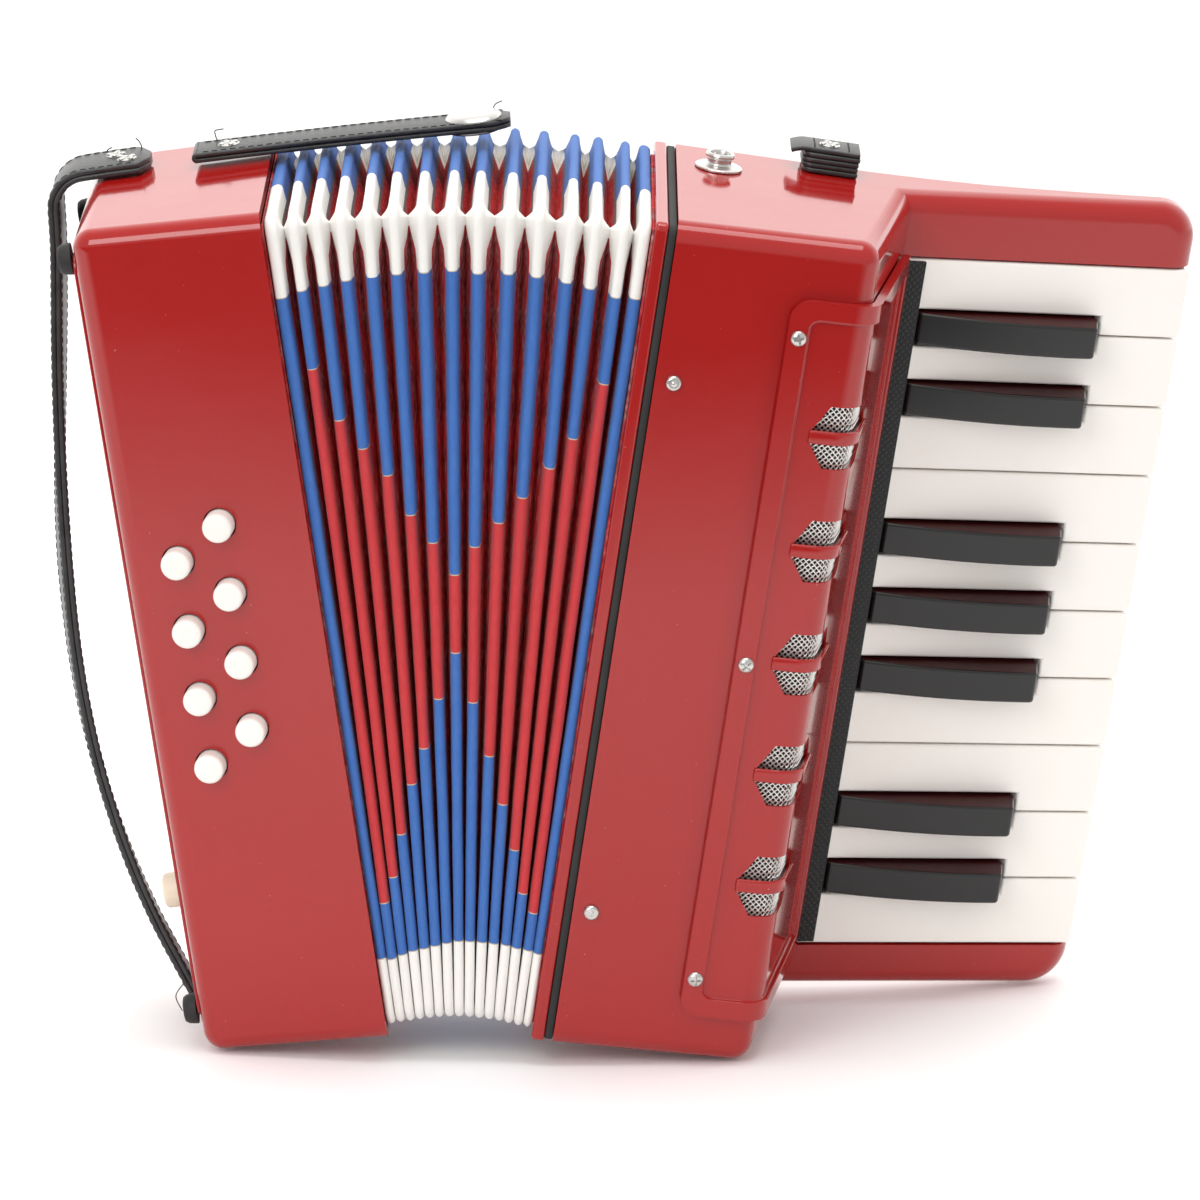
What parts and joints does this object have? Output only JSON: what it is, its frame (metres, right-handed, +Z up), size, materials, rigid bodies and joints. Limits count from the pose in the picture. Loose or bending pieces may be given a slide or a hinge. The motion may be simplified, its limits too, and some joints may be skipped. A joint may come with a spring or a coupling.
{
  "type": "toy piano accordion",
  "caption": "Small piano accordion: a keyboard case and a button case joined by fan-folded bellows, with a hand strap, a snap strap and a grille over the reeds.",
  "frame": {"origin": "on the floor, at the middle of the whole instrument seen from above", "axes": "+X from the bass side to the keyboard side, -Y towards the front, +Z up"},
  "size_m": [0.3166, 0.1446, 0.2587],
  "materials": {
    "case_plastic": "high-gloss moulded red plastic",
    "white_key_plastic": "satin white moulded plastic",
    "black_key_plastic": "glossy black moulded plastic",
    "button_plastic": "satin white plastic",
    "bellows_tape": "woven book-cloth tape over card, blue, red and white",
    "leatherette": "black grained leatherette with stitched edges",
    "chrome_fittings": "polished nickel plate",
    "wire_mesh": "fine woven wire",
    "axle_steel": "drawn steel wire",
    "key_strip_fabric": "black textured strip",
    "gasket_rubber": "matt black foam rubber",
    "reed_board_wood": "plain board"
  },
  "bodies": {
    "treble": {"bellows_gasket": "gasket_rubber", "bellows_pin_bottom": "chrome_fittings", "bellows_pin_top": "chrome_fittings", "grille_cover": "case_plastic", "grille_mesh": "wire_mesh", "grille_screw_bottom": "chrome_fittings", "grille_screw_middle": "chrome_fittings", "grille_screw_top": "chrome_fittings", "key_axle": "axle_steel", "key_felt_strip": "key_strip_fabric", "shoulder_strap_bracket": "leatherette", "snap_stud": "chrome_fittings", "treble_bellows_frame": "case_plastic", "treble_case": "case_plastic", "treble_rear_cover": "case_plastic", "treble_reed_board": "reed_board_wood"},
    "bass": {"bass_bellows_frame": "bellows_tape", "bass_case": "case_plastic", "bass_side_plate": "case_plastic", "hand_strap": "leatherette"},
    "air_button": {"air_button": "button_plastic"},
    "bass_button_1": {"bass_button_1": "button_plastic"},
    "bass_button_2": {"bass_button_2": "button_plastic"},
    "bass_button_3": {"bass_button_3": "button_plastic"},
    "bass_button_4": {"bass_button_4": "button_plastic"},
    "bass_button_5": {"bass_button_5": "button_plastic"},
    "bass_button_6": {"bass_button_6": "button_plastic"},
    "bass_button_7": {"bass_button_7": "button_plastic"},
    "bass_button_8": {"bass_button_8": "button_plastic"},
    "bellows_fold_02": {"bellows_fold_02": "bellows_tape"},
    "bellows_fold_03": {"bellows_fold_03": "bellows_tape"},
    "bellows_fold_04": {"bellows_fold_04": "bellows_tape"},
    "bellows_fold_05": {"bellows_fold_05": "bellows_tape"},
    "bellows_fold_06": {"bellows_fold_06": "bellows_tape"},
    "bellows_fold_07": {"bellows_fold_07": "bellows_tape"},
    "bellows_fold_08": {"bellows_fold_08": "bellows_tape"},
    "bellows_fold_09": {"bellows_fold_09": "bellows_tape"},
    "bellows_fold_10": {"bellows_fold_10": "bellows_tape"},
    "bellows_fold_11": {"bellows_fold_11": "bellows_tape"},
    "bellows_fold_12": {"bellows_fold_12": "bellows_tape"},
    "bellows_fold_13": {"bellows_fold_13": "bellows_tape"},
    "bellows_fold_14": {"bellows_fold_14": "bellows_tape"},
    "bellows_strap": {"bellows_strap": "leatherette"},
    "black_key_01": {"black_key_01": "black_key_plastic"},
    "black_key_02": {"black_key_02": "black_key_plastic"},
    "black_key_03": {"black_key_03": "black_key_plastic"},
    "black_key_04": {"black_key_04": "black_key_plastic"},
    "black_key_05": {"black_key_05": "black_key_plastic"},
    "black_key_06": {"black_key_06": "black_key_plastic"},
    "black_key_07": {"black_key_07": "black_key_plastic"},
    "white_key_01": {"white_key_01": "white_key_plastic"},
    "white_key_02": {"white_key_02": "white_key_plastic"},
    "white_key_03": {"white_key_03": "white_key_plastic"},
    "white_key_04": {"white_key_04": "white_key_plastic"},
    "white_key_05": {"white_key_05": "white_key_plastic"},
    "white_key_06": {"white_key_06": "white_key_plastic"},
    "white_key_07": {"white_key_07": "white_key_plastic"},
    "white_key_08": {"white_key_08": "white_key_plastic"},
    "white_key_09": {"white_key_09": "white_key_plastic"},
    "white_key_10": {"white_key_10": "white_key_plastic"}
  },
  "joints": [
    {"name": "bellows_fan", "type": "hinge", "parent": "treble", "child": "bass", "pos_m": [-0.04491, 0.00219, 0.01305], "axis": [0, -0.9924, -0.1227], "range_deg": [-16, 10]},
    {"name": "air_button_press", "type": "slide", "parent": "bass", "child": "air_button", "axis": [0.9881, -0.0188, 0.1523], "range_m": [0, 0.004], "stiffness_N_per_m": 60},
    {"name": "bass_button_1_press", "type": "slide", "parent": "bass", "child": "bass_button_1", "axis": [0.1344, 0.9807, 0.1423], "range_m": [0, 0.003], "stiffness_N_per_m": 60},
    {"name": "bass_button_2_press", "type": "slide", "parent": "bass", "child": "bass_button_2", "axis": [0.1344, 0.9807, 0.1423], "range_m": [0, 0.003], "stiffness_N_per_m": 60},
    {"name": "bass_button_3_press", "type": "slide", "parent": "bass", "child": "bass_button_3", "axis": [0.1344, 0.9807, 0.1423], "range_m": [0, 0.003], "stiffness_N_per_m": 60},
    {"name": "bass_button_4_press", "type": "slide", "parent": "bass", "child": "bass_button_4", "axis": [0.1344, 0.9807, 0.1423], "range_m": [0, 0.003], "stiffness_N_per_m": 60},
    {"name": "bass_button_5_press", "type": "slide", "parent": "bass", "child": "bass_button_5", "axis": [0.1344, 0.9807, 0.1423], "range_m": [0, 0.003], "stiffness_N_per_m": 60},
    {"name": "bass_button_6_press", "type": "slide", "parent": "bass", "child": "bass_button_6", "axis": [0.1344, 0.9807, 0.1423], "range_m": [0, 0.003], "stiffness_N_per_m": 60},
    {"name": "bass_button_7_press", "type": "slide", "parent": "bass", "child": "bass_button_7", "axis": [0.1344, 0.9807, 0.1423], "range_m": [0, 0.003], "stiffness_N_per_m": 60},
    {"name": "bass_button_8_press", "type": "slide", "parent": "bass", "child": "bass_button_8", "axis": [0.1344, 0.9807, 0.1423], "range_m": [0, 0.003], "stiffness_N_per_m": 60},
    {"name": "bellows_fold_02_swing", "type": "hinge", "parent": "treble", "child": "bellows_fold_02", "pos_m": [-0.04491, 0.00219, 0.01305], "axis": [0, -0.9924, -0.1227], "range_deg": [-15.17, 9.59]},
    {"name": "bellows_fold_03_swing", "type": "hinge", "parent": "treble", "child": "bellows_fold_03", "pos_m": [-0.04491, 0.00219, 0.01305], "axis": [0, -0.9924, -0.1227], "range_deg": [-14.27, 9.02]},
    {"name": "bellows_fold_04_swing", "type": "hinge", "parent": "treble", "child": "bellows_fold_04", "pos_m": [-0.04491, 0.00219, 0.01305], "axis": [0, -0.9924, -0.1227], "range_deg": [-13.3, 8.41]},
    {"name": "bellows_fold_05_swing", "type": "hinge", "parent": "treble", "child": "bellows_fold_05", "pos_m": [-0.04491, 0.00219, 0.01305], "axis": [0, -0.9924, -0.1227], "range_deg": [-12.17, 7.7]},
    {"name": "bellows_fold_06_swing", "type": "hinge", "parent": "treble", "child": "bellows_fold_06", "pos_m": [-0.04491, 0.00219, 0.01305], "axis": [0, -0.9924, -0.1227], "range_deg": [-11.12, 7.04]},
    {"name": "bellows_fold_07_swing", "type": "hinge", "parent": "treble", "child": "bellows_fold_07", "pos_m": [-0.04491, 0.00219, 0.01305], "axis": [0, -0.9924, -0.1227], "range_deg": [-9.9, 6.27]},
    {"name": "bellows_fold_08_swing", "type": "hinge", "parent": "treble", "child": "bellows_fold_08", "pos_m": [-0.04491, 0.00219, 0.01305], "axis": [0, -0.9924, -0.1227], "range_deg": [-8.61, 5.45]},
    {"name": "bellows_fold_09_swing", "type": "hinge", "parent": "treble", "child": "bellows_fold_09", "pos_m": [-0.04491, 0.00219, 0.01305], "axis": [0, -0.9924, -0.1227], "range_deg": [-7.47, 4.74]},
    {"name": "bellows_fold_10_swing", "type": "hinge", "parent": "treble", "child": "bellows_fold_10", "pos_m": [-0.04491, 0.00219, 0.01305], "axis": [0, -0.9924, -0.1227], "range_deg": [-6.01, 3.82]},
    {"name": "bellows_fold_11_swing", "type": "hinge", "parent": "treble", "child": "bellows_fold_11", "pos_m": [-0.04491, 0.00219, 0.01305], "axis": [0, -0.9924, -0.1227], "range_deg": [-4.72, 3.01]},
    {"name": "bellows_fold_12_swing", "type": "hinge", "parent": "treble", "child": "bellows_fold_12", "pos_m": [-0.04491, 0.00219, 0.01305], "axis": [0, -0.9924, -0.1227], "range_deg": [-3.26, 2.09]},
    {"name": "bellows_fold_13_swing", "type": "hinge", "parent": "treble", "child": "bellows_fold_13", "pos_m": [-0.04491, 0.00219, 0.01305], "axis": [0, -0.9924, -0.1227], "range_deg": [-2.29, 1.48]},
    {"name": "bellows_fold_14_swing", "type": "hinge", "parent": "treble", "child": "bellows_fold_14", "pos_m": [-0.04491, 0.00219, 0.01305], "axis": [0, -0.9924, -0.1227], "range_deg": [-1.07, 0.71]},
    {"name": "bellows_strap_lift", "type": "hinge", "parent": "bass", "child": "bellows_strap", "pos_m": [-0.10902, -0.00605, 0.24672], "axis": [0, -0.9924, -0.1227], "range_deg": [-3, 4.8]},
    {"name": "black_key_01_press", "type": "hinge", "parent": "treble", "child": "black_key_01", "pos_m": [0.07253, 0.01074, 0.2011], "axis": [0.1265, -0.1217, 0.9845], "range_deg": [0, 2.5], "stiffness_Nm_per_rad": 0.05},
    {"name": "black_key_02_press", "type": "hinge", "parent": "treble", "child": "black_key_02", "pos_m": [0.06995, 0.01322, 0.18106], "axis": [0.1265, -0.1217, 0.9845], "range_deg": [0, 2.5], "stiffness_Nm_per_rad": 0.05},
    {"name": "black_key_03_press", "type": "hinge", "parent": "treble", "child": "black_key_03", "pos_m": [0.0648, 0.01817, 0.141], "axis": [0.1265, -0.1217, 0.9845], "range_deg": [0, 2.5], "stiffness_Nm_per_rad": 0.05},
    {"name": "black_key_04_press", "type": "hinge", "parent": "treble", "child": "black_key_04", "pos_m": [0.06223, 0.02065, 0.12096], "axis": [0.1265, -0.1217, 0.9845], "range_deg": [0, 2.5], "stiffness_Nm_per_rad": 0.05},
    {"name": "black_key_05_press", "type": "hinge", "parent": "treble", "child": "black_key_05", "pos_m": [0.05965, 0.02313, 0.10093], "axis": [0.1265, -0.1217, 0.9845], "range_deg": [0, 2.5], "stiffness_Nm_per_rad": 0.05},
    {"name": "black_key_06_press", "type": "hinge", "parent": "treble", "child": "black_key_06", "pos_m": [0.0545, 0.02808, 0.06086], "axis": [0.1265, -0.1217, 0.9845], "range_deg": [0, 2.5], "stiffness_Nm_per_rad": 0.05},
    {"name": "black_key_07_press", "type": "hinge", "parent": "treble", "child": "black_key_07", "pos_m": [0.05193, 0.03056, 0.04083], "axis": [0.1265, -0.1217, 0.9845], "range_deg": [0, 2.5], "stiffness_Nm_per_rad": 0.05},
    {"name": "white_key_01_press", "type": "hinge", "parent": "treble", "child": "white_key_01", "pos_m": [0.07377, 0.00955, 0.21072], "axis": [0.1265, -0.1217, 0.9845], "range_deg": [0, 2.5], "stiffness_Nm_per_rad": 0.05},
    {"name": "white_key_02_press", "type": "hinge", "parent": "treble", "child": "white_key_02", "pos_m": [0.07119, 0.01203, 0.19069], "axis": [0.1265, -0.1217, 0.9845], "range_deg": [0, 2.5], "stiffness_Nm_per_rad": 0.05},
    {"name": "white_key_03_press", "type": "hinge", "parent": "treble", "child": "white_key_03", "pos_m": [0.06862, 0.0145, 0.17065], "axis": [0.1265, -0.1217, 0.9845], "range_deg": [0, 2.5], "stiffness_Nm_per_rad": 0.05},
    {"name": "white_key_04_press", "type": "hinge", "parent": "treble", "child": "white_key_04", "pos_m": [0.06604, 0.01698, 0.15062], "axis": [0.1265, -0.1217, 0.9845], "range_deg": [0, 2.5], "stiffness_Nm_per_rad": 0.05},
    {"name": "white_key_05_press", "type": "hinge", "parent": "treble", "child": "white_key_05", "pos_m": [0.06346, 0.01946, 0.13059], "axis": [0.1265, -0.1217, 0.9845], "range_deg": [0, 2.5], "stiffness_Nm_per_rad": 0.05},
    {"name": "white_key_06_press", "type": "hinge", "parent": "treble", "child": "white_key_06", "pos_m": [0.06089, 0.02194, 0.11055], "axis": [0.1265, -0.1217, 0.9845], "range_deg": [0, 2.5], "stiffness_Nm_per_rad": 0.05},
    {"name": "white_key_07_press", "type": "hinge", "parent": "treble", "child": "white_key_07", "pos_m": [0.05831, 0.02441, 0.09052], "axis": [0.1265, -0.1217, 0.9845], "range_deg": [0, 2.5], "stiffness_Nm_per_rad": 0.05},
    {"name": "white_key_08_press", "type": "hinge", "parent": "treble", "child": "white_key_08", "pos_m": [0.05574, 0.02689, 0.07048], "axis": [0.1265, -0.1217, 0.9845], "range_deg": [0, 2.5], "stiffness_Nm_per_rad": 0.05},
    {"name": "white_key_09_press", "type": "hinge", "parent": "treble", "child": "white_key_09", "pos_m": [0.05316, 0.02937, 0.05045], "axis": [0.1265, -0.1217, 0.9845], "range_deg": [0, 2.5], "stiffness_Nm_per_rad": 0.05},
    {"name": "white_key_10_press", "type": "hinge", "parent": "treble", "child": "white_key_10", "pos_m": [0.05059, 0.03185, 0.03042], "axis": [0.1265, -0.1217, 0.9845], "range_deg": [0, 2.5], "stiffness_Nm_per_rad": 0.05}
  ],
  "couplings": [
    {"joint": "bellows_fold_02_swing", "follows": "bellows_fan", "ratio": 0.93},
    {"joint": "bellows_fold_03_swing", "follows": "bellows_fan", "ratio": 0.875},
    {"joint": "bellows_fold_04_swing", "follows": "bellows_fan", "ratio": 0.815},
    {"joint": "bellows_fold_05_swing", "follows": "bellows_fan", "ratio": 0.745},
    {"joint": "bellows_fold_06_swing", "follows": "bellows_fan", "ratio": 0.68},
    {"joint": "bellows_fold_07_swing", "follows": "bellows_fan", "ratio": 0.605},
    {"joint": "bellows_fold_08_swing", "follows": "bellows_fan", "ratio": 0.525},
    {"joint": "bellows_fold_09_swing", "follows": "bellows_fan", "ratio": 0.455},
    {"joint": "bellows_fold_10_swing", "follows": "bellows_fan", "ratio": 0.365},
    {"joint": "bellows_fold_11_swing", "follows": "bellows_fan", "ratio": 0.285},
    {"joint": "bellows_fold_12_swing", "follows": "bellows_fan", "ratio": 0.195},
    {"joint": "bellows_fold_13_swing", "follows": "bellows_fan", "ratio": 0.135},
    {"joint": "bellows_fold_14_swing", "follows": "bellows_fan", "ratio": 0.06},
    {"joint": "bellows_strap_lift", "follows": "bellows_fan", "ratio": -0.29}
  ]
}
